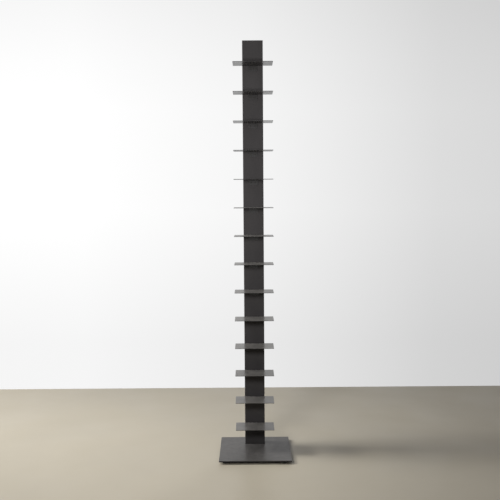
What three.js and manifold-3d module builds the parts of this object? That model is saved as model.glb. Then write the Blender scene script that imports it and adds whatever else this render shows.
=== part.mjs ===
// Spine bookshelf: a slim steel column on a square foot plate, with fourteen thin bent-sheet
// shelves screwed to the column's front, so that stacked books hide it.
// Millimetres, +Z up. The origin is on the floor under the centre of the foot plate.
// The front faces -Y and +X is to the right of someone who looks at the front.

import * as THREE from "three";
import Module from "manifold-3d";
import { mergeVertices } from "three/addons/utils/BufferGeometryUtils.js";

const wasm = await Module();
wasm.setup();

// Whole object
const overallHeight = 2024;

// Foot plate, and the round pads under it
const baseWidth = 350;
const baseDepth = 350;
const baseThickness = 6;
const baseCornerRadius = 3;
const baseEdgeChamfer = 0.8;
const padThickness = 12;
const padRadius = 20;
const padRim = 1.2;
const padInset = 15;

// Column: a folded sheet channel, closed at the front and open between two lips at the back
const columnWidth = 100;
const columnDepth = 40;
const columnSheet = 2;
const columnBendRadius = 3;
const columnLip = 15;
const columnFrontSetback = 240.5; // from the foot plate's front edge to the column's front face

// Plate welded inside the foot of the column, which the screws of the foot plate pull down
const footThickness = 10;

// Screws between foot plate and column
const baseScrewRadius = 4;
const baseScrewHeadRadius = 7.6;
const baseScrewHeadHeight = 4.4;
const baseScrewLength = 15;
const baseScrewSocketRadius = 2.9;
const baseScrewSocketDepth = 2.6;
const baseScrewSideInset = 15.5; // from the column's side to the screw's axis
const baseScrewFaceInset = 11.2; // from the column's front or back to the screw's axis

// Shelves: flat sheet with a tongue at the back that is bent down and screwed to the column
const shelfCount = 14;
const lowestShelfTop = 131.5;
const topShelfDrop = 118; // from the column's top to the top shelf
const shelfWidth = 190;
const shelfReach = 125; // how far a shelf stands out in front of the column
const shelfSheet = 2;
const shelfCornerRadius = 3;
const tongueWidth = 45;
const tongueDrop = 28; // from the shelf's top face to the tongue's lower edge
const tongueCornerRadius = 3;
const bendInnerRadius = 2;
const reliefWidth = 1.6;
const reliefDepth = 5;

// Screws between shelf and column, two for each shelf, in tapped collars drawn from the column's wall
const shelfScrewRadius = 2.5;
const shelfScrewHeadRadius = 4.6;
const shelfScrewHeadHeight = 1.3;
const shelfScrewLength = 8;
const shelfScrewSocketRadius = 1.6;
const shelfScrewSocketDepth = 0.9;
const shelfScrewSpread = 11;
const shelfScrewDrop = 16; // from the shelf's top face to the screw's axis
const collarWall = 1.6;
const collarDepth = 2.5;

// Clearances and cuts
const seatGap = 0.3; // between two pieces that touch
const threadGap = 0.3; // between a screw and the hole it passes or bites
const overrun = 5; // how far a cutter runs past the face it opens

// Facets: steps in a quarter turn of a bend or corner, and sides of a round piece
const bendSteps = 4;
const cornerSteps = 3;
const screwSegments = 10;
const padSegments = 24;

// Places worked out from the sizes above
const baseUnderside = padThickness;
const baseTop = baseUnderside + baseThickness;
const columnFoot = baseTop + seatGap;
const columnFront = -baseDepth / 2 + columnFrontSetback;
const columnBack = columnFront + columnDepth;
const shelfPitch = (overallHeight - topShelfDrop - lowestShelfTop) / (shelfCount - 1);
const shelfScrewHole = shelfScrewRadius + threadGap;
const baseScrewHole = baseScrewRadius + threadGap;

const steelColour = 0x3d3b3b;
const screwColour = 0x2c2b2b;
const weldedColour = 0x363434;
const rubberColour = 0x141414;

/** A closed three.js geometry as a solid that can be joined and cut. */
function toSolid(geometry) {
  const bare = geometry.clone();
  bare.deleteAttribute("normal");
  bare.deleteAttribute("uv");
  const merged = mergeVertices(bare);
  const mesh = new wasm.Mesh({
    numProp: 3,
    vertProperties: new Float32Array(merged.attributes.position.array),
    triVerts: new Uint32Array(merged.index.array),
  });
  return new wasm.Manifold(mesh);
}

/** The geometry of a solid, ready for a mesh. */
function toGeometry(solid) {
  const mesh = solid.getMesh();
  const geometry = new THREE.BufferGeometry();
  geometry.setAttribute("position", new THREE.BufferAttribute(new Float32Array(mesh.vertProperties), 3));
  geometry.setIndex(new THREE.BufferAttribute(new Uint32Array(mesh.triVerts), 1));
  return geometry;
}

/** An outline in X and Y raised to a height, with its lower face at the given level. */
function extrudeUp(shape, height, level, curveSegments) {
  const geometry = new THREE.ExtrudeGeometry(shape, { depth: height, bevelEnabled: false, curveSegments });
  geometry.translate(0, 0, level);
  return geometry;
}

/** A rectangle centred on X, from front to back in Y, with round corners. */
function roundedPlan(width, front, back, radius) {
  const side = width / 2;
  const shape = new THREE.Shape();
  shape.moveTo(-side + radius, front);
  shape.absarc(side - radius, front + radius, radius, -Math.PI / 2, 0, false);
  shape.absarc(side - radius, back - radius, radius, 0, Math.PI / 2, false);
  shape.absarc(-side + radius, back - radius, radius, Math.PI / 2, Math.PI, false);
  shape.absarc(-side + radius, front + radius, radius, Math.PI, (3 * Math.PI) / 2, false);
  return shape;
}

/** A turned solid about its own +Z axis, from [radius, height] points that start and end on the axis. */
function turned(points, segments) {
  const profile = points.map(([radius, height]) => new THREE.Vector2(radius, height));
  const geometry = new THREE.LatheGeometry(profile, segments);
  geometry.rotateX(Math.PI / 2);
  return geometry;
}

/** Turns a part built along +Z so that it points along +Y. */
function aimBack(geometry) {
  geometry.rotateX(-Math.PI / 2);
  return geometry;
}

/** The plain cone-headed screw with a socket, from its head face at zero down its own +Z axis. */
function screwGeometry(size) {
  return turned(
    [
      [0, size.socketDepth],
      [size.socketRadius, size.socketDepth],
      [size.socketRadius, 0],
      [size.headRadius, 0],
      [size.radius, size.headHeight],
      [size.radius, size.length],
      [0, size.length],
    ],
    screwSegments,
  );
}

/** The cutter for a screw's hole and the cone that its head sinks into, along its own +Z axis. */
function screwCutter(size) {
  const hole = size.radius + threadGap;
  const mouth = size.headRadius + threadGap;
  return turned(
    [
      [0, -overrun],
      [mouth, -overrun],
      [mouth, 0],
      [hole, size.headHeight],
      [hole, size.length + overrun],
      [0, size.length + overrun],
    ],
    screwSegments,
  );
}

const baseScrewSize = {
  radius: baseScrewRadius,
  headRadius: baseScrewHeadRadius,
  headHeight: baseScrewHeadHeight,
  length: baseScrewLength,
  socketRadius: baseScrewSocketRadius,
  socketDepth: baseScrewSocketDepth,
};

const shelfScrewSize = {
  radius: shelfScrewRadius,
  headRadius: shelfScrewHeadRadius,
  headHeight: shelfScrewHeadHeight,
  length: shelfScrewLength,
  socketRadius: shelfScrewSocketRadius,
  socketDepth: shelfScrewSocketDepth,
};

/** Where the four screws of the foot plate stand, on the centre of the column's section. */
function baseScrewPlaces() {
  const reachX = columnWidth / 2 - baseScrewSideInset;
  const rows = [columnFront + baseScrewFaceInset, columnBack - baseScrewFaceInset];
  return rows.flatMap((y) => [[-reachX, y], [reachX, y]]);
}

/** The top face of each shelf, from the lowest up. */
function shelfLevels() {
  return Array.from({ length: shelfCount }, (_, index) => lowestShelfTop + index * shelfPitch);
}

/** The foot plate: thick square plate with eased edges and four countersunk holes from below. */
function buildBasePlate() {
  const inner = baseThickness - baseEdgeChamfer * 2;
  const plan = roundedPlan(
    baseWidth - baseEdgeChamfer * 2,
    -baseDepth / 2 + baseEdgeChamfer,
    baseDepth / 2 - baseEdgeChamfer,
    baseCornerRadius - baseEdgeChamfer,
  );
  const plate = new THREE.ExtrudeGeometry(plan, {
    depth: inner,
    bevelEnabled: true,
    bevelThickness: baseEdgeChamfer,
    bevelSize: baseEdgeChamfer,
    bevelSegments: 1,
    curveSegments: cornerSteps,
  });
  plate.translate(0, 0, baseUnderside + baseEdgeChamfer);
  let solid = toSolid(plate);
  for (const [x, y] of baseScrewPlaces()) {
    const cutter = screwCutter(baseScrewSize);
    cutter.translate(x, y, baseUnderside);
    solid = solid.subtract(toSolid(cutter));
  }
  return toGeometry(solid);
}

/** The channel's section seen from above: the front, the right side and lip, the inside, the left side. */
function channelPlan() {
  const side = columnWidth / 2;
  const outer = columnBendRadius;
  const inner = columnBendRadius - columnSheet;
  const shape = new THREE.Shape();
  shape.moveTo(-side + outer, columnFront);
  shape.lineTo(side - outer, columnFront);
  shape.absarc(side - outer, columnFront + outer, outer, -Math.PI / 2, 0, false);
  shape.lineTo(side, columnBack - outer);
  shape.absarc(side - outer, columnBack - outer, outer, 0, Math.PI / 2, false);
  shape.lineTo(side - columnLip, columnBack);
  shape.lineTo(side - columnLip, columnBack - columnSheet);
  shape.lineTo(side - outer, columnBack - columnSheet);
  shape.absarc(side - outer, columnBack - outer, inner, Math.PI / 2, 0, true);
  shape.lineTo(side - columnSheet, columnFront + outer);
  shape.absarc(side - outer, columnFront + outer, inner, 0, -Math.PI / 2, true);
  shape.lineTo(-side + outer, columnFront + columnSheet);
  shape.absarc(-side + outer, columnFront + outer, inner, -Math.PI / 2, -Math.PI, true);
  shape.lineTo(-side + columnSheet, columnBack - outer);
  shape.absarc(-side + outer, columnBack - outer, inner, Math.PI, Math.PI / 2, true);
  shape.lineTo(-side + columnLip, columnBack - columnSheet);
  shape.lineTo(-side + columnLip, columnBack);
  shape.lineTo(-side + outer, columnBack);
  shape.absarc(-side + outer, columnBack - outer, outer, Math.PI / 2, Math.PI, false);
  shape.lineTo(-side, columnFront + outer);
  shape.absarc(-side + outer, columnFront + outer, outer, Math.PI, (3 * Math.PI) / 2, false);
  return shape;
}

/** The column: the folded channel, with a tapped collar behind its front wall for each shelf screw. */
function buildColumn() {
  const height = overallHeight - columnFoot;
  let solid = toSolid(extrudeUp(channelPlan(), height, columnFoot, bendSteps));
  const collarRadius = shelfScrewHole + collarWall;
  const collarStart = columnSheet / 2;
  for (const level of shelfLevels()) {
    for (const side of [-1, 1]) {
      const x = side * shelfScrewSpread;
      const z = level - shelfScrewDrop;
      const collarLength = columnSheet / 2 + collarDepth;
      const collar = new THREE.CylinderGeometry(collarRadius, collarRadius, collarLength, screwSegments);
      collar.translate(x, columnFront + collarStart + collarLength / 2, z);
      const boreLength = columnSheet + collarDepth + overrun * 2;
      const bore = new THREE.CylinderGeometry(shelfScrewHole, shelfScrewHole, boreLength, screwSegments);
      bore.translate(x, columnFront - overrun + boreLength / 2, z);
      solid = solid.add(toSolid(collar)).subtract(toSolid(bore));
    }
  }
  return toGeometry(solid);
}

/** The plate welded inside the column's foot, tapped for the four screws. */
function buildColumnFoot() {
  const inset = columnSheet + seatGap;
  const cornerRadius = columnBendRadius - columnSheet;
  const plan = roundedPlan(columnWidth - inset * 2, columnFront + inset, columnBack - inset, cornerRadius);
  let solid = toSolid(extrudeUp(plan, footThickness, columnFoot, cornerSteps));
  const boreLength = footThickness + overrun * 2;
  for (const [x, y] of baseScrewPlaces()) {
    const bore = new THREE.CylinderGeometry(baseScrewHole, baseScrewHole, boreLength, screwSegments);
    bore.rotateX(Math.PI / 2);
    bore.translate(x, y, columnFoot + footThickness / 2);
    solid = solid.subtract(toSolid(bore));
  }
  return toGeometry(solid);
}

/** A pad: a low rubber disc with an eased lower rim. */
function buildPad() {
  const height = padThickness - seatGap;
  return turned(
    [
      [0, 0],
      [padRadius - padRim, 0],
      [padRadius, padRim],
      [padRadius, height],
      [0, height],
    ],
    padSegments,
  );
}

/** The side profile of the bent tongue, in Y and Z, with the shelf's top face at zero height. */
function tongueProfile(back) {
  const outer = bendInnerRadius + shelfSheet;
  const root = back - outer - reliefDepth;
  const shape = new THREE.Shape();
  shape.moveTo(root, -shelfSheet);
  shape.lineTo(back - outer, -shelfSheet);
  shape.absarc(back - outer, -outer, bendInnerRadius, Math.PI / 2, 0, true);
  shape.lineTo(back - shelfSheet, -tongueDrop);
  shape.lineTo(back, -tongueDrop);
  shape.lineTo(back, -outer);
  shape.absarc(back - outer, -outer, outer, 0, Math.PI / 2, false);
  shape.lineTo(root, 0);
  return shape;
}

/** The front view of the tongue, in X and Z, which rounds its two lower corners. */
function tongueFace() {
  const side = tongueWidth / 2;
  const shape = new THREE.Shape();
  shape.moveTo(-side, overrun);
  shape.lineTo(-side, -tongueDrop + tongueCornerRadius);
  shape.absarc(-side + tongueCornerRadius, -tongueDrop + tongueCornerRadius, tongueCornerRadius,
    Math.PI, (3 * Math.PI) / 2, false);
  shape.lineTo(side - tongueCornerRadius, -tongueDrop);
  shape.absarc(side - tongueCornerRadius, -tongueDrop + tongueCornerRadius, tongueCornerRadius,
    -Math.PI / 2, 0, false);
  shape.lineTo(side, overrun);
  return shape;
}

/** A shelf with its top face at zero height: the flat sheet, its bent tongue and the two sunk screw holes. */
function buildShelf() {
  const back = columnFront - seatGap;
  const front = columnFront - shelfReach;
  const outer = bendInnerRadius + shelfSheet;
  const plan = roundedPlan(shelfWidth, front, back, shelfCornerRadius);
  let solid = toSolid(extrudeUp(plan, shelfSheet, -shelfSheet, cornerSteps));

  const notchWidth = tongueWidth + reliefWidth * 2;
  const notchDepth = outer + reliefDepth;
  const notch = new THREE.BoxGeometry(notchWidth, notchDepth + overrun, shelfSheet + overrun);
  notch.translate(0, back + overrun - (notchDepth + overrun) / 2, -shelfSheet / 2);
  solid = solid.subtract(toSolid(notch));

  const bent = new THREE.ExtrudeGeometry(tongueProfile(back), {
    depth: tongueWidth,
    bevelEnabled: false,
    curveSegments: bendSteps,
  });
  bent.rotateZ(Math.PI / 2).rotateY(Math.PI / 2);
  bent.translate(-tongueWidth / 2, 0, 0);
  const face = new THREE.ExtrudeGeometry(tongueFace(), {
    depth: notchDepth + overrun * 2,
    bevelEnabled: false,
    curveSegments: cornerSteps,
  });
  face.rotateX(Math.PI / 2);
  face.translate(0, back + overrun, 0);
  solid = solid.add(toSolid(bent).intersect(toSolid(face)));

  for (const side of [-1, 1]) {
    const cutter = aimBack(screwCutter(shelfScrewSize));
    cutter.translate(side * shelfScrewSpread, back - shelfSheet, -shelfScrewDrop);
    solid = solid.subtract(toSolid(cutter));
  }
  return toGeometry(solid);
}

const model = new THREE.Group();
const steel = new THREE.MeshStandardMaterial({ color: steelColour, metalness: 0.4, roughness: 0.45 });
const welded = new THREE.MeshStandardMaterial({ color: weldedColour, metalness: 0.4, roughness: 0.5 });
const screws = new THREE.MeshStandardMaterial({ color: screwColour, metalness: 0.7, roughness: 0.4 });
const rubber = new THREE.MeshStandardMaterial({ color: rubberColour, metalness: 0, roughness: 0.9 });

/** Adds one named piece at a place, to a group. */
function addPiece(group, name, geometry, material, x, y, z) {
  const mesh = new THREE.Mesh(geometry, material);
  mesh.name = name;
  mesh.position.set(x, y, z);
  group.add(mesh);
}

/** The foot plate with its pads and the screws that hold the column. */
function addBase() {
  const group = new THREE.Group();
  addPiece(group, "base_plate", buildBasePlate(), steel, 0, 0, 0);
  const padX = baseWidth / 2 - padInset - padRadius;
  const padY = baseDepth / 2 - padInset - padRadius;
  const corners = [
    ["front_left", -1, -1],
    ["front_right", 1, -1],
    ["back_left", -1, 1],
    ["back_right", 1, 1],
  ];
  for (const [corner, sideX, sideY] of corners) {
    addPiece(group, `pad_${corner}`, buildPad(), rubber, sideX * padX, sideY * padY, 0);
  }
  baseScrewPlaces().forEach(([x, y], index) => {
    addPiece(group, `base_screw_${index + 1}`, screwGeometry(baseScrewSize), screws, x, y, baseUnderside);
  });
  model.add(group);
}

/** The column and the plate welded inside its foot. */
function addColumn() {
  const group = new THREE.Group();
  addPiece(group, "column", buildColumn(), steel, 0, 0, 0);
  addPiece(group, "column_foot", buildColumnFoot(), welded, 0, 0, 0);
  model.add(group);
}

/** The shelves, counted from the lowest, each with its left and right screw. */
function addShelves() {
  const screwFace = columnFront - seatGap - shelfSheet;
  shelfLevels().forEach((level, index) => {
    const label = String(index + 1).padStart(2, "0");
    const group = new THREE.Group();
    group.position.set(0, 0, level);
    addPiece(group, `shelf_${label}`, buildShelf(), steel, 0, 0, 0);
    for (const [hand, side] of [["left", -1], ["right", 1]]) {
      const screw = aimBack(screwGeometry(shelfScrewSize));
      const x = side * shelfScrewSpread;
      addPiece(group, `shelf_screw_${label}_${hand}`, screw, screws, x, screwFace, -shelfScrewDrop);
    }
    model.add(group);
  });
}

addBase();
addColumn();
addShelves();

export default model;
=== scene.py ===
"""Spine bookshelf: the looks of a slim steel column with thin bent-sheet shelves on a square foot plate.

Metres, +Z up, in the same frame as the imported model. The front faces -Y.
"""

import logging
import math
from collections.abc import Callable, Iterable
from dataclasses import dataclass, field
from enum import Enum
import bmesh  # noqa: E402
import bpy  # noqa: E402
from mathutils import Matrix, Vector  # noqa: E402


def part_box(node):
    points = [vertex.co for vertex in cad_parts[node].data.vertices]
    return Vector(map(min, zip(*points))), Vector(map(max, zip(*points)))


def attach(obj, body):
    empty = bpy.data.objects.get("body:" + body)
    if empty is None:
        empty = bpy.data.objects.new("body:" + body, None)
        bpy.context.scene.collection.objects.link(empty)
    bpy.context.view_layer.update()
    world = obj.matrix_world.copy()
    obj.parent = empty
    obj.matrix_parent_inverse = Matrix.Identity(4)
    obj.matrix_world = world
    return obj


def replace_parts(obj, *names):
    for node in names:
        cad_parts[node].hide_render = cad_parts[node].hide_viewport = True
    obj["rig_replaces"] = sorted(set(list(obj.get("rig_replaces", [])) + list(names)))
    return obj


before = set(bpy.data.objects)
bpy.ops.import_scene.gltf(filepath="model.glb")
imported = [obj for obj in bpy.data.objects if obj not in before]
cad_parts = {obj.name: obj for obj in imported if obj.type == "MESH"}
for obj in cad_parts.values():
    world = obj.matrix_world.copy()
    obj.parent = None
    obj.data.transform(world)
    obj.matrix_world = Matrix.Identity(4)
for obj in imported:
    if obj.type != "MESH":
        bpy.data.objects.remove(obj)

LOG = logging.getLogger("spine_bookshelf")
BODY = "root"
MM = 0.001
IMAGE_PIXELS = 500
SENSOR_WIDTH_MM = 36.0
SHELF_COUNT = 14

# Modelling: how near two places count as one, and how well a direction has to agree with an axis.
MERGE_GAP = 1e-6
NEAR = 1e-5
ALONG = 0.9
SQUARE_ON = 0.999
CAP_MARGIN = 0.02 * MM
SMOOTH_ANGLE = 32.0

# Finishes: the part of a noise that is used, and its scale beside that of the clouds of colour.
PATTERN_LOW, PATTERN_HIGH = 0.3, 0.7
SMUDGE_SCALE = 2.3
PATCH_SCALE = 3
GRAIN_STRENGTH = 0.6
# A pale film on faces that look up: partly dust, partly painted sheen that makes those faces lighter.
DUST_AND_SHEEN_COLOUR = (0.36, 0.34, 0.31)
DUST_AND_SHEEN_PATCHINESS = 0.3
DUST_AND_SHEEN_ROUGHNESS = 0.5

Test = Callable[[Vector, Vector], bool]


class Part(Enum):
    """What is picked in edit mode."""

    FACES = "FACE"
    EDGES = "EDGE"


class Slot(Enum):
    """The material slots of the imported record."""

    STEEL = "powder_coated_steel"
    SCREW = "black_screw_steel"
    RUBBER = "pad_rubber"


class Bench:
    """Modelling steps that every piece uses, each made with Blender's own operators."""

    @staticmethod
    def activate(*pieces: bpy.types.Object) -> None:
        """Deselects everything, then selects the pieces and makes the first one active.

        Args:
            pieces: The objects that are selected.
        """
        bpy.ops.object.select_all(action="DESELECT")
        for piece in pieces:
            piece.select_set(True)
        bpy.context.view_layer.objects.active = pieces[0]

    @staticmethod
    def settle(piece: bpy.types.Object) -> None:
        """Puts the piece's place, turn and scale into its mesh, so that its object sits at the origin."""
        Bench.activate(piece)
        bpy.ops.object.transform_apply(location=True, rotation=True, scale=True)

    @staticmethod
    def block(name: str, low: Iterable[float], high: Iterable[float]) -> bpy.types.Object:
        """Adds a block between two corners.

        Args:
            name: The new object's name.
            low: Its lowest corner.
            high: Its highest corner.

        Returns:
            The block, settled at the origin.
        """
        low, high = Vector(low), Vector(high)
        bpy.ops.object.select_all(action="DESELECT")
        bpy.ops.mesh.primitive_cube_add(size=1, location=(low + high) / 2)
        piece = bpy.context.object
        piece.name = name
        piece.scale = high - low
        Bench.settle(piece)
        return piece

    @staticmethod
    def rod(
        name: str, start: Vector, end: Vector, radii: tuple[float, float], sides: int
    ) -> bpy.types.Object:
        """Adds a round or many-sided rod between two points.

        Args:
            name: The new object's name.
            start: The centre of its first end.
            end: The centre of its second end.
            radii: Its radius at the first and second end.
            sides: How many sides it has.

        Returns:
            The rod, settled at the origin.
        """
        along = end - start
        bpy.ops.object.select_all(action="DESELECT")
        bpy.ops.mesh.primitive_cone_add(
            vertices=sides, radius1=radii[0], radius2=radii[1], depth=along.length, location=(start + end) / 2
        )
        piece = bpy.context.object
        piece.name = name
        piece.rotation_mode = "QUATERNION"
        piece.rotation_quaternion = along.to_track_quat("Z", "Y")
        Bench.settle(piece)
        return piece

    @staticmethod
    def pick(piece: bpy.types.Object, part: Part, test: Test) -> None:
        """Selects, in edit mode, the faces or edges that a test accepts.

        Args:
            piece: The object being edited.
            part: Whether faces or edges are picked.
            test: Called with the middle and the normal of a face, or the middle and direction of an edge.
        """
        bpy.ops.mesh.select_mode(type=part.value)
        bpy.ops.mesh.select_all(action="DESELECT")
        shape = bmesh.from_edit_mesh(piece.data)
        if part is Part.FACES:
            for face in shape.faces:
                face.select_set(test(face.calc_center_median(), face.normal))
        else:
            for edge in shape.edges:
                first, second = (corner.co for corner in edge.verts)
                edge.select_set(test((first + second) / 2, (second - first).normalized()))
        bmesh.update_edit_mesh(piece.data)

    @staticmethod
    def pick_open_edges() -> None:
        """Selects the edges of the edited mesh where it isn't closed."""
        bpy.ops.mesh.select_mode(type=Part.EDGES.value)
        bpy.ops.mesh.select_all(action="DESELECT")
        bpy.ops.mesh.select_non_manifold()

    @staticmethod
    def edit(piece: bpy.types.Object) -> None:
        """Opens a piece in edit mode."""
        Bench.activate(piece)
        bpy.ops.object.mode_set(mode="EDIT")

    @staticmethod
    def close() -> None:
        """Leaves edit mode."""
        bpy.ops.object.mode_set(mode="OBJECT")

    @staticmethod
    def cut_line(place: Iterable[float], normal: Iterable[float]) -> None:
        """Cuts new edges across the edited mesh where a plane meets it."""
        bpy.ops.mesh.select_all(action="SELECT")
        bpy.ops.mesh.bisect(plane_co=tuple(place), plane_no=tuple(normal))

    @staticmethod
    def extrude(piece: bpy.types.Object, test: Test, move: Iterable[float]) -> None:
        """Extrudes the faces that a test accepts by a move."""
        Bench.pick(piece, Part.FACES, test)
        bpy.ops.mesh.extrude_region_move(TRANSFORM_OT_translate={"value": tuple(move)})

    @staticmethod
    def tidy_normals() -> None:
        """Merges doubles in the edited mesh and points its faces outwards."""
        bpy.ops.mesh.select_all(action="SELECT")
        bpy.ops.mesh.remove_doubles(threshold=MERGE_GAP)
        bpy.ops.mesh.normals_make_consistent(inside=False)

    @staticmethod
    def modify(piece: bpy.types.Object, kind: str, **settings: object) -> None:
        """Adds a modifier with its settings and applies it.

        Args:
            piece: The piece that is modified.
            kind: Blender's name for the kind of modifier.
            settings: The modifier's settings by name.
        """
        Bench.activate(piece)
        modifier = piece.modifiers.new(kind.lower(), kind)
        for setting, value in settings.items():
            setattr(modifier, setting, value)
        bpy.ops.object.modifier_apply(modifier=modifier.name)

    @staticmethod
    def join(pieces: list[bpy.types.Object]) -> bpy.types.Object:
        """Joins separate pieces into the first one's object.

        Args:
            pieces: The pieces that are joined.

        Returns:
            The joined object.
        """
        Bench.activate(*pieces)
        bpy.ops.object.join()
        return bpy.context.object

    @staticmethod
    def combine(piece: bpy.types.Object, tools: list[bpy.types.Object], operation: str) -> None:
        """Adds or cuts tool shapes with a boolean, and deletes the tools.

        Args:
            piece: The piece that is changed.
            tools: The shapes that are added or cut.
            operation: UNION to add, DIFFERENCE to cut.
        """
        tool = Bench.join(tools) if len(tools) > 1 else tools[0]
        Bench.modify(piece, "BOOLEAN", operation=operation, solver="EXACT", object=tool)
        bpy.data.objects.remove(tool, do_unlink=True)

    @staticmethod
    def shade(piece: bpy.types.Object) -> None:
        """Shades a piece smooth by angle, and lets its large flat faces keep their own direction.

        Args:
            piece: The piece that is shaded.
        """
        Bench.activate(piece)
        bpy.ops.object.shade_smooth_by_angle(angle=math.radians(SMOOTH_ANGLE))
        Bench.modify(piece, "WEIGHTED_NORMAL", mode="FACE_AREA", weight=50, keep_sharp=True)

    @staticmethod
    def ease_edges(piece: bpy.types.Object, width: float, segments: int, sharper_than: float) -> None:
        """Rounds every edge sharper than an angle by a small width, and shades the piece.

        Args:
            piece: The piece whose edges are rounded.
            width: The width of the rounding.
            segments: How many faces it is made of.
            sharper_than: The angle in degrees above which an edge is rounded.
        """
        Bench.modify(
            piece,
            "BEVEL",
            width=width,
            segments=segments,
            limit_method="ANGLE",
            angle_limit=math.radians(sharper_than),
            use_clamp_overlap=True,
            harden_normals=False,
        )
        Bench.shade(piece)

    @staticmethod
    def copy(piece: bpy.types.Object, name: str, shift: Vector) -> bpy.types.Object:
        """Copies a piece with its own mesh, moved by a shift.

        The copy stands for no solid until it is dressed.

        Args:
            piece: The piece that is copied.
            name: The copy's name.
            shift: How far the copy's mesh lies from the original's.

        Returns:
            The copy, with its object at the origin.
        """
        Bench.activate(piece)
        bpy.ops.object.duplicate(linked=False)
        twin = bpy.context.object
        twin.name = name
        twin.data.name = name
        twin.data.transform(Matrix.Translation(shift))
        if "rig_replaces" in twin:
            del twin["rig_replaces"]
        return twin


@dataclass(frozen=True)
class Finish:
    """Sizes and tones of a coated, blackened or moulded surface.

    The colour wanders a little over the surface, and the roughness and a fine bump follow noise of their own.
    Faces that look up can carry a pale film, partly dust and partly painted sheen that makes them lighter.
    """

    name: str
    colour: tuple[float, float, float]
    wander: float = 0.12
    roughness: float = 0.4
    roughness_wander: float = 0.08
    metallic: float = 0.0
    specular: float = 0.5
    grain_scale: float = 900.0
    grain_height: float = 0.00002
    cloud_scale: float = 7.0
    streak: tuple[float, float, float] = (1.0, 1.0, 1.0)
    dust_and_sheen: float = 0.0

    def build(self) -> bpy.types.Material:
        """Builds the node material.

        Returns:
            The material, ready for a piece.
        """
        material = bpy.data.materials.new(self.name)
        material.use_nodes = True
        nodes, links = material.node_tree.nodes, material.node_tree.links
        shader = nodes["Principled BSDF"]
        shader.inputs["Metallic"].default_value = self.metallic
        shader.inputs["Specular IOR Level"].default_value = self.specular
        place = nodes.new("ShaderNodeTexCoord")
        stretch = nodes.new("ShaderNodeMapping")
        stretch.inputs["Scale"].default_value = self.streak
        links.new(place.outputs["Object"], stretch.inputs["Vector"])

        clouds = self._noise(nodes, links, stretch.outputs["Vector"], self.cloud_scale, detail=6.0)
        tone = nodes.new("ShaderNodeValToRGB")
        tone.color_ramp.elements[0].position = PATTERN_LOW
        tone.color_ramp.elements[1].position = PATTERN_HIGH
        tone.color_ramp.elements[0].color = (*(c * (1 - self.wander) for c in self.colour), 1)
        tone.color_ramp.elements[1].color = (*(c * (1 + self.wander) for c in self.colour), 1)
        links.new(clouds.outputs["Fac"], tone.inputs["Fac"])
        colour = tone.outputs["Color"]

        smudge_scale = self.cloud_scale * SMUDGE_SCALE
        smudges = self._noise(nodes, links, stretch.outputs["Vector"], smudge_scale, detail=4.0)
        spread = nodes.new("ShaderNodeMapRange")
        spread.inputs["From Min"].default_value = PATTERN_LOW
        spread.inputs["From Max"].default_value = PATTERN_HIGH
        spread.inputs["To Min"].default_value = self.roughness - self.roughness_wander
        spread.inputs["To Max"].default_value = self.roughness + self.roughness_wander
        links.new(smudges.outputs["Fac"], spread.inputs["Value"])
        roughness = spread.outputs["Result"]
        # Painted sheen with dust: a pale film mixed into the colour of faces that look up makes them lighter.
        if self.dust_and_sheen > 0:
            film = self._dust_and_sheen_film(nodes, links, place)
            colour = self._mix(nodes, links, film, colour, (*DUST_AND_SHEEN_COLOUR, 1), "RGBA")
            roughness = self._mix(nodes, links, film, roughness, DUST_AND_SHEEN_ROUGHNESS, "FLOAT")
        links.new(colour, shader.inputs["Base Color"])
        links.new(roughness, shader.inputs["Roughness"])

        grain = self._noise(nodes, links, place.outputs["Object"], self.grain_scale, detail=2.0)
        bump = nodes.new("ShaderNodeBump")
        bump.inputs["Strength"].default_value = GRAIN_STRENGTH
        bump.inputs["Distance"].default_value = self.grain_height
        links.new(grain.outputs["Fac"], bump.inputs["Height"])
        links.new(bump.outputs["Normal"], shader.inputs["Normal"])
        return material

    @staticmethod
    def _noise(
        nodes: bpy.types.Nodes,
        links: bpy.types.NodeLinks,
        vector: bpy.types.NodeSocket,
        scale: float,
        detail: float,
    ) -> bpy.types.Node:
        """Adds a noise texture on a vector.

        Args:
            nodes: The material's nodes.
            links: The material's links.
            vector: The place that the noise follows.
            scale: How many patches it has to a metre.
            detail: How many finer layers it has.

        Returns:
            The noise node.
        """
        noise = nodes.new("ShaderNodeTexNoise")
        noise.inputs["Scale"].default_value = scale
        noise.inputs["Detail"].default_value = detail
        links.new(vector, noise.inputs["Vector"])
        return noise

    def _dust_and_sheen_film(
        self, nodes: bpy.types.Nodes, links: bpy.types.NodeLinks, place: bpy.types.Node
    ) -> bpy.types.NodeSocket:
        """Works out how much of a thin pale film lies on each spot: patchy, and only on faces that look up.
        The film is partly dust and partly painted sheen, which makes those faces lighter.

        Args:
            nodes: The material's nodes.
            links: The material's links.
            place: The node that gives the place on the piece.

        Returns:
            The film's share of the surface.
        """
        facing = nodes.new("ShaderNodeNewGeometry")
        split = nodes.new("ShaderNodeSeparateXYZ")
        links.new(facing.outputs["Normal"], split.inputs["Vector"])
        patch_scale = self.cloud_scale * PATCH_SCALE
        patches = self._noise(nodes, links, place.outputs["Object"], patch_scale, detail=6.0)
        spread = nodes.new("ShaderNodeMapRange")
        spread.inputs["From Min"].default_value = PATTERN_LOW
        spread.inputs["From Max"].default_value = PATTERN_HIGH
        spread.inputs["To Min"].default_value = self.dust_and_sheen * (1 - DUST_AND_SHEEN_PATCHINESS)
        spread.inputs["To Max"].default_value = self.dust_and_sheen * (1 + DUST_AND_SHEEN_PATCHINESS)
        links.new(patches.outputs["Fac"], spread.inputs["Value"])
        amount = nodes.new("ShaderNodeMath")
        amount.operation = "MULTIPLY"
        amount.use_clamp = True
        links.new(split.outputs["Z"], amount.inputs[0])
        links.new(spread.outputs["Result"], amount.inputs[1])
        return amount.outputs["Value"]

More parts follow.
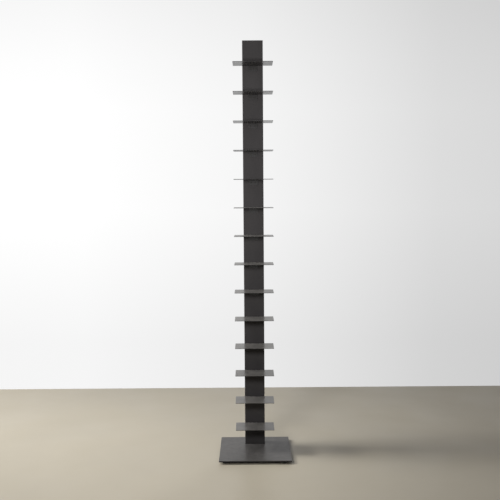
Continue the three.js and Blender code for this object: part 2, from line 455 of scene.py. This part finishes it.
    @staticmethod
    def _mix(
        nodes: bpy.types.Nodes,
        links: bpy.types.NodeLinks,
        share: bpy.types.NodeSocket,
        under: bpy.types.NodeSocket,
        over: float | tuple[float, float, float, float],
        kind: str,
    ) -> bpy.types.NodeSocket:
        """Mixes a fixed colour or number over a socket by a share.

        Args:
            nodes: The material's nodes.
            links: The material's links.
            share: How much of the fixed value shows.
            under: The socket that it lies over.
            over: The fixed colour or number.
            kind: RGBA for a colour, FLOAT for a number.

        Returns:
            The mixed socket.
        """
        mix = nodes.new("ShaderNodeMix")
        mix.data_type = kind
        links.new(share, mix.inputs["Factor"])
        ends = {socket.name: socket for socket in mix.inputs if socket.enabled and socket.name in ("A", "B")}
        links.new(under, ends["A"])
        ends["B"].default_value = over
        return next(socket for socket in mix.outputs if socket.enabled)


class Finishes:
    """The finishes of this bookshelf, built once."""

    def __init__(self) -> None:
        """Builds every finish."""
        # One powder coat covers the column, shelves and foot plate. The column's colour is set lighter than
        # the plate's as painted light, and the shelves' colour is set darker as painted shade, so that their
        # shaded undersides render dark.
        self.column = Finish(
            "column_powder_coat_painted_light",
            (0.053, 0.0497, 0.0502),
            roughness=0.45,
            specular=0.1,
            streak=(1.0, 1.0, 0.35),
            cloud_scale=9.0,
        ).build()
        self.shelf = Finish(
            "shelf_powder_coat_painted_shade",
            (0.034, 0.0323, 0.0325),
            roughness=0.26,
            roughness_wander=0.04,
            specular=0.4,
            dust_and_sheen=0.265,
        ).build()
        self.plate = Finish(
            "foot_plate_powder_coat",
            (0.042, 0.0398, 0.0403),
            roughness=0.33,
            roughness_wander=0.04,
            specular=0.18,
            cloud_scale=14.0,
            dust_and_sheen=0.145,
        ).build()
        self.screw = Finish(
            "blackened_screw", (0.05, 0.048, 0.046), metallic=0.35, roughness=0.42, grain_scale=2500.0
        ).build()
        self.rubber = Finish(
            "moulded_rubber", (0.012, 0.012, 0.012), roughness=0.8, specular=0.3, grain_scale=1800.0
        ).build()


def dress(
    piece: bpy.types.Object, material: bpy.types.Material, replaced: Iterable[str] = ()
) -> None:
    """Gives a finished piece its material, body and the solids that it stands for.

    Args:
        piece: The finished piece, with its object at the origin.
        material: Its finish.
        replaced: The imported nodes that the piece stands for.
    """
    piece.data.materials.clear()
    piece.data.materials.append(material)
    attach(piece, BODY)
    if replaced:
        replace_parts(piece, *replaced)
    LOG.info("%s: %d faces, %s", piece.name, len(piece.data.polygons), material.name)


@dataclass
class ScrewShape:
    """A countersunk screw with a hexagon socket, drawn from its head face along an axis."""

    head_radius: float
    head_height: float
    shank_radius: float
    length: float
    socket_width: float
    socket_depth: float
    rim: float = 0.25 * MM
    thread_pitch: float = 0.8 * MM
    thread_depth: float = 0.35 * MM
    threaded_rings: int = 5
    sides: int = 32
    socket_sides: int = 6
    edge: float = 0.08 * MM

    def build(self, name: str, head: Vector, axis: Vector) -> bpy.types.Object:
        """Models the screw.

        Args:
            name: The new object's name.
            head: The centre of its head face.
            axis: The unit direction from the head to the tip.

        Returns:
            The screw.
        """
        rim_end = head + axis * self.rim
        cone_end = head + axis * self.head_height
        ring_start = self.length - self.thread_pitch * self.threaded_rings
        shank_end = head + axis * ring_start
        parts = [
            Bench.rod(name, head, rim_end, (self.head_radius, self.head_radius), self.sides),
            Bench.rod("cone", rim_end, cone_end, (self.head_radius, self.shank_radius), self.sides),
            Bench.rod("shank", cone_end, shank_end, (self.shank_radius, self.shank_radius), self.sides),
        ]
        core = self.shank_radius - self.thread_depth
        for ring in range(self.threaded_rings):
            start = head + axis * (ring_start + ring * self.thread_pitch)
            middle = start + axis * self.thread_pitch / 2
            end = start + axis * self.thread_pitch
            crest = self.shank_radius if ring < self.threaded_rings - 1 else core + self.thread_depth / 3
            parts.append(Bench.rod("rise", start, middle, (core, crest), self.sides))
            parts.append(Bench.rod("fall", middle, end, (crest, core), self.sides))
        screw = Bench.join(parts)
        Bench.edit(screw)
        Bench.pick(screw, Part.FACES, self._stacked_caps(axis, head))
        bpy.ops.mesh.delete(type="ONLY_FACE")
        Bench.tidy_normals()
        Bench.pick_open_edges()
        bpy.ops.mesh.bridge_edge_loops()
        Bench.tidy_normals()
        Bench.close()
        corner_radius = self.socket_width / math.sqrt(3)
        socket = Bench.rod(
            "socket",
            head - axis * self.socket_depth,
            head + axis * self.socket_depth,
            (corner_radius, corner_radius),
            self.socket_sides,
        )
        Bench.combine(screw, [socket], "DIFFERENCE")
        Bench.ease_edges(screw, width=self.edge, segments=2, sharper_than=40)
        return screw

    def _stacked_caps(self, axis: Vector, head: Vector) -> Test:
        """Finds the end faces between stacked rods, which are neither the head face nor the tip.

        Args:
            axis: The unit direction from the head to the tip.
            head: The centre of the head face.

        Returns:
            A test that accepts these faces.
        """

        def test(middle: Vector, normal: Vector) -> bool:
            """Says whether a face lies across the screw and inside it."""
            depth = (middle - head).dot(axis)
            flat = abs(normal.dot(axis)) > SQUARE_ON
            return flat and CAP_MARGIN < depth < self.length - CAP_MARGIN

        return test

    def cutter(self, head: Vector, axis: Vector, clearance: float, beyond: float) -> bpy.types.Object:
        """Builds the hole that the screw sinks into.

        Args:
            head: The centre of the screw's head face.
            axis: The unit direction from the head to the tip.
            clearance: The gap round the screw.
            beyond: How far the cutter runs past the head face and the tip.

        Returns:
            A closed cutter.
        """
        mouth, hole = self.head_radius + clearance, self.shank_radius + clearance
        cone_end = head + axis * self.head_height
        parts = [
            Bench.rod("mouth", head - axis * beyond, head, (mouth, mouth), self.sides),
            Bench.rod("sink", head, cone_end, (mouth, hole), self.sides),
            Bench.rod("hole", cone_end, head + axis * (self.length + beyond), (hole, hole), self.sides),
        ]
        cutter = Bench.join(parts)
        Bench.edit(cutter)
        span = self.length + beyond

        def inner(middle: Vector, normal: Vector) -> bool:
            """Says whether a face lies across the cutter and inside it."""
            depth = (middle - head).dot(axis)
            return abs(normal.dot(axis)) > SQUARE_ON and -beyond / 2 < depth < span - beyond / 2

        Bench.pick(cutter, Part.FACES, inner)
        bpy.ops.mesh.delete(type="ONLY_FACE")
        Bench.tidy_normals()
        Bench.close()
        return cutter


@dataclass
class FootPlate:
    """The thick square plate that the column stands on, with its pads and the screws from below."""

    finishes: Finishes
    corner_radius: float = 3 * MM
    edge: float = 0.9 * MM
    screw_clearance: float = 0.3 * MM
    cut_beyond: float = 5 * MM
    pad_rim: float = 1.4 * MM
    pad_groove: float = 0.7 * MM
    pad_groove_width: float = 1.6 * MM
    pad_grooves: int = 4
    pad_edge: float = 0.35 * MM
    pad_sides: int = 64
    screw: ScrewShape = field(
        default_factory=lambda: ScrewShape(
            head_radius=7.6 * MM,
            head_height=4.4 * MM,
            shank_radius=4 * MM,
            length=15 * MM,
            socket_width=5 * MM,
            socket_depth=2.6 * MM,
            thread_pitch=1.25 * MM,
            thread_depth=0.6 * MM,
        )
    )

    def build(self) -> None:
        """Makes the plate, its four screws and its four pads."""
        self._build_plate()
        self._build_screws()
        self._build_pads()

    @staticmethod
    def screw_heads() -> dict[str, Vector]:
        """Works out where each screw's head face is centred.

        Returns:
            The places by the screws' packed names.
        """
        heads = {}
        for index in range(4):
            name = f"base_screw_{index + 1}"
            low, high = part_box(name)
            heads[name] = Vector(((low.x + high.x) / 2, (low.y + high.y) / 2, low.z))
        return heads

    def _build_plate(self) -> None:
        """Models the plate from a block, with round corners, eased edges and four sunk holes below."""
        low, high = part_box("base_plate")
        plate = Bench.block("foot_plate", low, high)
        Bench.edit(plate)
        Bench.pick(plate, Part.EDGES, lambda middle, along: abs(along.z) > ALONG)
        bpy.ops.mesh.bevel(offset=self.corner_radius, segments=10, affect="EDGES")
        Bench.close()
        up = Vector((0, 0, 1))
        cutters = [
            self.screw.cutter(head, up, self.screw_clearance, self.cut_beyond)
            for head in self.screw_heads().values()
        ]
        Bench.combine(plate, cutters, "DIFFERENCE")
        Bench.ease_edges(plate, width=self.edge, segments=3, sharper_than=60)
        dress(plate, self.finishes.plate, ["base_plate"])

    def _build_screws(self) -> None:
        """Models one screw and copies it to the other three places."""
        heads = self.screw_heads()
        first_name, first_head = next(iter(heads.items()))
        master = self.screw.build("plate_" + first_name, first_head, Vector((0, 0, 1)))
        for name, head in heads.items():
            is_first = name == first_name
            screw = master if is_first else Bench.copy(master, "plate_" + name, head - first_head)
            dress(screw, self.finishes.screw, [name])

    def _build_pads(self) -> None:
        """Models one grooved round pad and copies it to the other corners."""
        corners = ["front_left", "front_right", "back_left", "back_right"]
        low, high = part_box("pad_front_left")
        radius = (high.x - low.x) / 2
        first = Vector(((low.x + high.x) / 2, (low.y + high.y) / 2, low.z))
        top = first + Vector((0, 0, high.z - low.z))
        pad = Bench.rod("round_pad_front_left", first, top, (radius, radius), self.pad_sides)
        Bench.edit(pad)
        Bench.pick(pad, Part.FACES, lambda middle, normal: normal.z < -ALONG)
        bpy.ops.mesh.inset(thickness=self.pad_rim + self.pad_groove_width)
        for _ in range(self.pad_grooves):
            bpy.ops.mesh.inset(thickness=self.pad_groove_width)
            bpy.ops.mesh.inset(thickness=self.pad_groove_width)
        Bench.pick(pad, Part.FACES, lambda middle, normal: self._in_groove(middle - first, normal, radius))
        bpy.ops.mesh.extrude_region_move(TRANSFORM_OT_translate={"value": (0, 0, self.pad_groove)})
        Bench.close()
        Bench.ease_edges(pad, width=self.pad_edge, segments=2, sharper_than=50)
        for corner in corners:
            name = f"round_pad_{corner}"
            corner_low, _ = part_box(f"pad_{corner}")
            piece = pad if corner == corners[0] else Bench.copy(pad, name, corner_low - low)
            dress(piece, self.finishes.rubber, [f"pad_{corner}"])

    def _in_groove(self, place: Vector, normal: Vector, radius: float) -> bool:
        """Says whether an underside face of the pad lies in one of its round grooves.

        Args:
            place: The face's middle, seen from the pad's middle.
            normal: The face's direction.
            radius: The pad's radius.

        Returns:
            True for a face of a groove.
        """
        outer = radius - self.pad_rim - self.pad_groove_width
        distance = outer - math.hypot(place.x, place.y)
        ring = int(distance / self.pad_groove_width)
        return normal.z < -ALONG and distance > 0 and ring % 2 == 0 and ring < self.pad_grooves * 2


@dataclass
class Column:
    """The folded channel, its tapped collars, and the plate that is welded into its foot."""

    finishes: Finishes
    sheet: float = 2 * MM
    bend_radius: float = 3 * MM
    lip: float = 15 * MM
    collar_radius: float = 4.4 * MM
    collar_root: float = 5.4 * MM
    collar_reach: float = 2.5 * MM
    collar_waist: float = 2.5 * MM
    collar_sides: int = 28
    bore_radius: float = 2.8 * MM
    edge: float = 0.25 * MM
    foot_bore: float = 4.3 * MM
    foot_bore_sides: int = 32
    foot_edge: float = 0.4 * MM
    bead_radius: float = 1.9 * MM
    bead_step: float = 1.5 * MM
    bead_overlap: float = 0.35
    bead_flatness: float = 0.8
    bead_grid: float = 0.45 * MM

    def build(self) -> None:
        """Makes the channel, the plate in its foot and the weld between them."""
        self._build_channel()
        self._build_foot()
        self._build_weld()

    def _build_channel(self) -> None:
        """Folds the channel from its front wall, thickens it, and draws the collars for the shelf screws."""
        low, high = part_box("column")
        centre = (low + high) / 2
        bpy.ops.object.select_all(action="DESELECT")
        bpy.ops.mesh.primitive_plane_add(size=1, location=(centre.x, low.y, centre.z))
        channel = bpy.context.object
        channel.name = "folded_column"
        channel.rotation_euler = (math.pi / 2, 0, 0)
        channel.scale = (high.x - low.x, high.z - low.z, 1)
        Bench.settle(channel)
        Bench.edit(channel)
        for side in (-1, 1):
            edge_x = side * (high.x - low.x) / 2
            Bench.pick(channel, Part.EDGES, self._upright_at(edge_x, low.y))
            bpy.ops.mesh.extrude_region_move(TRANSFORM_OT_translate={"value": (0, high.y - low.y, 0)})
            bpy.ops.mesh.extrude_region_move(TRANSFORM_OT_translate={"value": (-side * self.lip, 0, 0)})
        Bench.tidy_normals()
        self._face_front(channel, low.y)
        outer_x = (high.x - low.x) / 2
        Bench.pick(
            channel,
            Part.EDGES,
            lambda middle, along: abs(along.z) > ALONG and abs(abs(middle.x) - outer_x) < NEAR,
        )
        bpy.ops.mesh.bevel(offset=self.bend_radius, segments=10, affect="EDGES")
        Bench.close()
        Bench.modify(channel, "SOLIDIFY", thickness=self.sheet, offset=-1.0, use_even_offset=True)
        self._draw_collars(channel, low.y)
        Bench.ease_edges(channel, width=self.edge, segments=2, sharper_than=60)
        dress(channel, self.finishes.column, ["column"])

    @staticmethod
    def _upright_at(x: float, y: float) -> Test:
        """Finds the upright edges that stand at a place.

        Args:
            x: Where they stand along X.
            y: Where they stand along Y.

        Returns:
            A test that accepts these edges.
        """
        return lambda middle, along: (
            abs(along.z) > ALONG and abs(middle.x - x) < NEAR and abs(middle.y - y) < NEAR
        )

    @staticmethod
    def _face_front(channel: bpy.types.Object, front: float) -> None:
        """Turns the sheet's faces so that the front wall looks forward.

        Args:
            channel: The column's sheet, open in edit mode.
            front: Where the front wall stands along Y.
        """
        shape = bmesh.from_edit_mesh(channel.data)
        wall = min(shape.faces, key=lambda face: abs(face.calc_center_median().y - front))
        if wall.normal.y > 0:
            bpy.ops.mesh.select_all(action="SELECT")
            bpy.ops.mesh.flip_normals()

    def _draw_collars(self, channel: bpy.types.Object, front: float) -> None:
        """Adds the tapered collars behind the front wall and bores them right through.

        Args:
            channel: The thickened column.
            front: Where its front face stands along Y.
        """
        back = Vector((0, 1, 0))
        collars, bores = [], []
        for name in Shelves.screw_names():
            low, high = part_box(name)
            axis = Vector(((low.x + high.x) / 2, 0, (low.z + high.z) / 2))
            root = axis + back * (front + self.sheet / 2)
            waist = axis + back * (front + self.collar_waist)
            end = axis + back * (front + self.sheet + self.collar_reach)
            tapered = (self.collar_root, self.collar_radius)
            straight = (self.collar_radius, self.collar_radius)
            collars.append(Bench.rod("collar_root", root, waist, tapered, self.collar_sides))
            collars.append(Bench.rod("collar", root, end, straight, self.collar_sides))
            start = axis + back * (front - self.sheet)
            through = end + back * self.sheet
            bores.append(Bench.rod("bore", start, through, (self.bore_radius,) * 2, self.collar_sides))
        Bench.combine(channel, collars, "UNION")
        Bench.combine(channel, bores, "DIFFERENCE")

    def _build_foot(self) -> None:
        """Models the plate in the foot of the column, with its four tapped holes."""
        low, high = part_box("column_foot")
        foot = Bench.block("welded_foot_plate", low, high)
        Bench.edit(foot)
        Bench.pick(foot, Part.EDGES, lambda middle, along: abs(along.z) > ALONG)
        bpy.ops.mesh.bevel(offset=self.bend_radius - self.sheet, segments=5, affect="EDGES")
        Bench.close()
        bores = []
        for head in FootPlate.screw_heads().values():
            start = Vector((head.x, head.y, low.z - self.sheet))
            end = Vector((head.x, head.y, high.z + self.sheet))
            bores.append(Bench.rod("bore", start, end, (self.foot_bore,) * 2, self.foot_bore_sides))
        Bench.combine(foot, bores, "DIFFERENCE")
        Bench.ease_edges(foot, width=self.foot_edge, segments=2, sharper_than=50)
        dress(foot, self.finishes.column, ["column_foot"])

    def _build_weld(self) -> None:
        """Lays the rippled weld bead between the foot plate's top and the channel's three walls."""
        low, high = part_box("column_foot")
        reach = self.bead_radius * self.bead_overlap
        path = [
            Vector((low.x + reach, high.y - self.bead_radius * 2, high.z)),
            Vector((low.x + reach, low.y + reach, high.z)),
            Vector((high.x - reach, low.y + reach, high.z)),
            Vector((high.x - reach, high.y - self.bead_radius * 2, high.z)),
        ]
        drops = []
        for start, end in zip(path, path[1:]):
            count = max(2, round((end - start).length / self.bead_step))
            for index in range(count):
                drops.append(self._bead_drop(start.lerp(end, index / count)))
        bead = Bench.join(drops)
        bead.name = "foot_weld_bead"
        Bench.modify(bead, "REMESH", mode="VOXEL", voxel_size=self.bead_grid, use_smooth_shade=True)
        Bench.modify(bead, "SMOOTH", factor=0.5, iterations=2)
        dress(bead, self.finishes.column)

    def _bead_drop(self, place: Vector) -> bpy.types.Object:
        """Adds one flattened drop of the weld.

        Args:
            place: The drop's middle.

        Returns:
            The drop.
        """
        bpy.ops.object.select_all(action="DESELECT")
        bpy.ops.mesh.primitive_uv_sphere_add(
            segments=16, ring_count=10, radius=self.bead_radius, location=place
        )
        drop = bpy.context.object
        drop.scale = (1.0, 1.0, self.bead_flatness)
        Bench.settle(drop)
        return drop


@dataclass
class Shelves:
    """The bent-sheet shelves and the two sunk screws that hold each."""

    finishes: Finishes
    count: int = SHELF_COUNT
    sheet: float = 2 * MM
    tongue_width: float = 45 * MM
    bend_inner_radius: float = 2 * MM
    corner_radius: float = 3 * MM
    relief_width: float = 1.6 * MM
    relief_depth: float = 5 * MM
    edge: float = 0.3 * MM
    screw_clearance: float = 0.3 * MM
    cut_beyond: float = 3 * MM
    screw: ScrewShape = field(
        default_factory=lambda: ScrewShape(
            head_radius=4.6 * MM,
            head_height=1.3 * MM,
            shank_radius=2.5 * MM,
            length=8 * MM,
            socket_width=2.8 * MM,
            socket_depth=0.9 * MM,
        )
    )

    @staticmethod
    def screw_names(count: int = SHELF_COUNT) -> list[str]:
        """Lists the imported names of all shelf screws."""
        hands = ("left", "right")
        return [f"shelf_screw_{index + 1:02d}_{hand}" for index in range(count) for hand in hands]

    def build(self) -> None:
        """Makes the lowest shelf and its screws, and copies them up the column."""
        low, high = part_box("shelf_01")
        shelf = self._build_shelf(low, high)
        screw_low, screw_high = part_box("shelf_screw_01_left")
        head = Vector(((screw_low.x + screw_high.x) / 2, screw_low.y, (screw_low.z + screw_high.z) / 2))
        screw = self.screw.build("tongue_screw_01_left", head, Vector((0, 1, 0)))
        for index in range(self.count):
            node = f"shelf_{index + 1:02d}"
            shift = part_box(node)[0] - low
            piece = shelf if index == 0 else Bench.copy(shelf, f"bent_{node}", shift)
            dress(piece, self.finishes.shelf, [node])
        for name in self.screw_names(self.count):
            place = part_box(name)[0] - screw_low
            own_name = name.replace("shelf_screw", "tongue_screw")
            piece = screw if own_name == screw.name else Bench.copy(screw, own_name, place)
            dress(piece, self.finishes.screw, [name])

    def _build_shelf(self, low: Vector, high: Vector) -> bpy.types.Object:
        """Models one shelf: a flat blank, its middle strip spun round the bend and drawn down as a tongue.

        Args:
            low: The lowest corner of the shelf's box.
            high: Its highest corner.

        Returns:
            The shelf.
        """
        top, back = high.z, high.y
        outer = self.bend_inner_radius + self.sheet
        root = back - outer - self.relief_depth
        half_tongue = self.tongue_width / 2
        half_notch = half_tongue + self.relief_width
        shelf = Bench.block("bent_shelf_01", (low.x, low.y, top - self.sheet), (high.x, root, top))
        Bench.edit(shelf)
        for x in (-half_notch, -half_tongue, half_tongue, half_notch):
            Bench.cut_line((x, 0, 0), (1, 0, 0))
        Bench.extrude(
            shelf,
            lambda middle, normal: normal.y > ALONG and abs(middle.x) > half_notch,
            (0, back - root, 0),
        )
        Bench.extrude(
            shelf,
            lambda middle, normal: normal.y > ALONG and abs(middle.x) < half_tongue,
            (0, self.relief_depth, 0),
        )
        bpy.ops.mesh.spin(
            steps=10,
            angle=math.pi / 2,
            center=(0, back - outer, top - outer),
            axis=(1, 0, 0),
            use_auto_merge=False,
        )
        drop = top - outer - low.z
        bpy.ops.mesh.extrude_region_move(TRANSFORM_OT_translate={"value": (0, 0, -drop)})
        Bench.tidy_normals()
        Bench.pick(shelf, Part.EDGES, lambda middle, along: self._is_corner(middle, along, low, high))
        bpy.ops.mesh.bevel(offset=self.corner_radius, segments=6, affect="EDGES")
        Bench.close()
        axis = Vector((0, 1, 0))
        cutters = []
        for hand in ("left", "right"):
            screw_low, screw_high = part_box(f"shelf_screw_01_{hand}")
            head = Vector(((screw_low.x + screw_high.x) / 2, screw_low.y, (screw_low.z + screw_high.z) / 2))
            cutters.append(self.screw.cutter(head, axis, self.screw_clearance, self.cut_beyond))
        Bench.combine(shelf, cutters, "DIFFERENCE")
        Bench.ease_edges(shelf, width=self.edge, segments=2, sharper_than=50)
        return shelf

    @staticmethod
    def _is_corner(middle: Vector, along: Vector, low: Vector, high: Vector) -> bool:
        """Says whether an edge is one of the shelf's outer upright corners or of the tongue's lower ones.

        Args:
            middle: The edge's middle.
            along: The edge's direction.
            low: The lowest corner of the shelf's box.
            high: Its highest corner.

        Returns:
            True for a corner that is rounded.
        """
        upright = abs(along.z) > ALONG and min(abs(middle.x - low.x), abs(middle.x - high.x)) < NEAR
        lower = abs(along.y) > ALONG and abs(middle.z - low.z) < NEAR
        return upright or lower


@dataclass(frozen=True)
class Lamp:
    """A rectangular soft lamp: where it hangs, where it looks, its sides in metres and its power in watts.

    The spread is the angle in degrees that its light fans out over, as through a grid. A lamp that isn't
    mirrored lights the object, and leaves no highlight or glare.
    """

    name: str
    place: tuple[float, float, float]
    target: tuple[float, float, float]
    sides: tuple[float, float]
    power: float
    spread: float = 180.0
    mirrored: bool = True

    def hang(self) -> None:
        """Adds the lamp to the scene."""
        data = bpy.data.lights.new(self.name, "AREA")
        data.shape = "RECTANGLE"
        data.size, data.size_y = self.sides
        data.energy = self.power
        data.spread = math.radians(self.spread)
        lamp = bpy.data.objects.new(self.name, data)
        lamp.location = self.place
        lamp.visible_glossy = self.mirrored
        lamp.rotation_euler = (Vector(self.target) - Vector(self.place)).to_track_quat("-Z", "Y").to_euler()
        bpy.context.scene.collection.objects.link(lamp)


@dataclass
class Studio:
    """The floor, the wall behind, the lamps and the camera."""

    camera_x: float = -0.0195
    camera_distance: float = 3.683
    camera_height: float = 1.308
    camera_pitch: float = 0.1098
    camera_roll: float = 0.0074
    focal_pixels: float = 744.1
    axis_row: float = 272.0
    wall_behind_column: float = 1.16
    wall_sides: tuple[float, float] = (16.0, 8.0)
    wall_half_fade: float = 2.0
    wall_fade_height: float = 2.6
    # Painted light on the wall's glow: brighter to the left, and darker at its foot and high up.
    wall_tones: tuple[tuple[float, float], ...] = (
        (0.0, 1.02),
        (0.22, 1.02),
        (0.5, 0.92),
        (0.62, 0.845),
        (0.8, 0.72),
        (1.0, 0.66),
    )
    wall_height_tones: tuple[tuple[float, float], ...] = (
        (0.0, 0.9),
        (0.12, 0.9),
        (0.29, 0.95),
        (0.45, 1.0),
        (0.7, 1.0),
        (0.82, 0.97),
        (1.0, 0.9),
    )
    floor_side: float = 24.0
    floor_colour: tuple[float, float, float] = (0.505, 0.455, 0.36)
    world_strength: float = 0.018
    world_colour: tuple[float, float, float] = (1.0, 0.99, 0.97)
    surround_tone: float = 0.93
    lamps: tuple[Lamp, ...] = (
        Lamp("window_light", (-3.7, 0.05, 2.45), (0.0, 0.0, 0.1), (1.05, 0.6), 108.0, mirrored=False),
        Lamp("side_light", (-1.8, 0.05, 2.5), (0.0, 0.0, 0.2), (1.0, 1.2), 34.0),
        Lamp("front_light", (-0.9, -2.2, 1.45), (0.0, 0.0, 1.5), (0.5, 0.45), 15.0, 100.0, mirrored=False),
        Lamp("back_light", (1.3, 2.6, 1.9), (0.0, 0.0, 1.2), (0.8, 1.2), 4.0, 60.0, mirrored=False),
    )

    def build(self) -> None:
        """Makes the camera first, then the room and the lamps."""
        self._build_camera()
        self._build_floor()
        self._build_wall()
        self._build_lamps()
        self._build_world()

    def _build_camera(self) -> None:
        """Places the camera as the fit to the photograph says."""
        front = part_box("column")[0].y
        data = bpy.data.cameras.new("camera")
        data.sensor_width = SENSOR_WIDTH_MM
        data.lens = self.focal_pixels / IMAGE_PIXELS * SENSOR_WIDTH_MM
        data.shift_y = (self.axis_row - IMAGE_PIXELS / 2) / IMAGE_PIXELS
        camera = bpy.data.objects.new("camera", data)
        bpy.context.scene.collection.objects.link(camera)
        tilt = Matrix.Rotation(math.pi / 2 - self.camera_pitch, 4, "X")
        roll = Matrix.Rotation(-self.camera_roll, 4, "Z")
        place = Matrix.Translation((self.camera_x, front - self.camera_distance, self.camera_height))
        camera.matrix_world = place @ tilt @ roll
        bpy.context.scene.camera = camera

    def _build_floor(self) -> None:
        """Lays a plain pale floor."""
        bpy.ops.object.select_all(action="DESELECT")
        bpy.ops.mesh.primitive_plane_add(size=self.floor_side, location=(0, 0, 0))
        floor = bpy.context.object
        floor.name = "floor"
        finish = Finish(
            "plain_floor", self.floor_colour, wander=0.05, roughness=0.4, specular=0.2, cloud_scale=1.2
        )
        floor.data.materials.append(finish.build())

    def _build_wall(self) -> None:
        """Stands a wall behind that only the camera and reflections see, and only from its front."""
        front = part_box("column")[0].y
        width, height = self.wall_sides
        bpy.ops.object.select_all(action="DESELECT")
        bpy.ops.mesh.primitive_plane_add(size=1, location=(0, front + self.wall_behind_column, height / 2))
        wall = bpy.context.object
        wall.name = "wall"
        wall.rotation_euler = (math.pi / 2, 0, 0)
        wall.scale = (width, height, 1)
        Bench.settle(wall)
        wall.visible_shadow = False
        wall.visible_diffuse = False
        wall.data.materials.append(self._wall_material())

    @staticmethod
    def _set_ramp(node: bpy.types.Node, stops: tuple[tuple[float, float], ...]) -> None:
        """Gives a colour ramp its grey stops.

        Args:
            node: The colour ramp node.
            stops: Each stop's position and level, in rising order of position.
        """
        ramp = node.color_ramp
        while len(ramp.elements) < len(stops):
            ramp.elements.new(0.5)
        for element, (position, level) in zip(ramp.elements, stops):
            element.position = position
            element.color = (level, level, level, 1)

    def _wall_material(self) -> bpy.types.Material:
        """Builds the wall's glow with painted light: brighter to the left and a little darker at its foot and
        high up.

        Returns:
            The material, which shines for the camera and for reflections alone.
        """
        material = bpy.data.materials.new("plain_wall")
        material.use_nodes = True
        nodes, links = material.node_tree.nodes, material.node_tree.links
        nodes.clear()
        output = nodes.new("ShaderNodeOutputMaterial")
        place = nodes.new("ShaderNodeTexCoord")
        split = nodes.new("ShaderNodeSeparateXYZ")
        links.new(place.outputs["Object"], split.inputs["Vector"])
        spread = nodes.new("ShaderNodeMapRange")
        spread.inputs["From Min"].default_value = -self.wall_half_fade
        spread.inputs["From Max"].default_value = self.wall_half_fade
        links.new(split.outputs["X"], spread.inputs["Value"])
        tone = nodes.new("ShaderNodeValToRGB")
        self._set_ramp(tone, self.wall_tones)
        links.new(spread.outputs["Result"], tone.inputs["Fac"])
        height = nodes.new("ShaderNodeMapRange")
        height.inputs["From Max"].default_value = self.wall_fade_height
        links.new(split.outputs["Z"], height.inputs["Value"])
        fade = nodes.new("ShaderNodeValToRGB")
        self._set_ramp(fade, self.wall_height_tones)
        links.new(height.outputs["Result"], fade.inputs["Fac"])
        glow = nodes.new("ShaderNodeEmission")
        links.new(tone.outputs["Color"], glow.inputs["Color"])
        links.new(fade.outputs["Color"], glow.inputs["Strength"])
        clear = nodes.new("ShaderNodeBsdfTransparent")
        facing = nodes.new("ShaderNodeNewGeometry")
        mix = nodes.new("ShaderNodeMixShader")
        links.new(facing.outputs["Backfacing"], mix.inputs["Fac"])
        links.new(glow.outputs["Emission"], mix.inputs[1])
        links.new(clear.outputs["BSDF"], mix.inputs[2])
        links.new(mix.outputs["Shader"], output.inputs["Surface"])
        return material

    def _build_lamps(self) -> None:
        """Hangs the window and side lights on the left, the front light at head height and the one behind."""
        for lamp in self.lamps:
            lamp.hang()

    def _build_world(self) -> None:
        """Gives a plain pale surround: soft on the object, near white to the camera and in reflections."""
        world = bpy.data.worlds.new("surround")
        bpy.context.scene.world = world
        world.use_nodes = True
        nodes, links = world.node_tree.nodes, world.node_tree.links
        background = nodes["Background"]
        background.inputs["Color"].default_value = (*self.world_colour, 1)
        background.inputs["Strength"].default_value = self.world_strength
        bright = nodes.new("ShaderNodeBackground")
        bright.inputs["Color"].default_value = (*(self.surround_tone,) * 3, 1)
        bright.inputs["Strength"].default_value = 1.0
        path = nodes.new("ShaderNodeLightPath")
        direct = nodes.new("ShaderNodeMath")
        direct.operation = "MAXIMUM"
        links.new(path.outputs["Is Camera Ray"], direct.inputs[0])
        links.new(path.outputs["Is Transmission Ray"], direct.inputs[1])
        seen = nodes.new("ShaderNodeMath")
        seen.operation = "MAXIMUM"
        links.new(direct.outputs["Value"], seen.inputs[0])
        links.new(path.outputs["Is Glossy Ray"], seen.inputs[1])
        mix = nodes.new("ShaderNodeMixShader")
        links.new(seen.outputs["Value"], mix.inputs["Fac"])
        links.new(background.outputs["Background"], mix.inputs[1])
        links.new(bright.outputs["Background"], mix.inputs[2])
        links.new(mix.outputs["Shader"], nodes["World Output"].inputs["Surface"])


def corners(box: tuple[Vector, Vector]) -> list[list[float]]:
    """The two corners of a box as plain lists of numbers."""
    return [list(corner) for corner in box]


def main() -> None:
    """Builds every sub-assembly in order."""
    logging.basicConfig(level=logging.INFO, format="%(name)s: %(message)s")
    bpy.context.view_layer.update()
    bpy.context.scene.view_settings.view_transform = "Standard"
    Studio().build()
    finishes = Finishes()
    FootPlate(finishes).build()
    Column(finishes).build()
    Shelves(finishes).build()


if __name__ == "__main__":
    main()
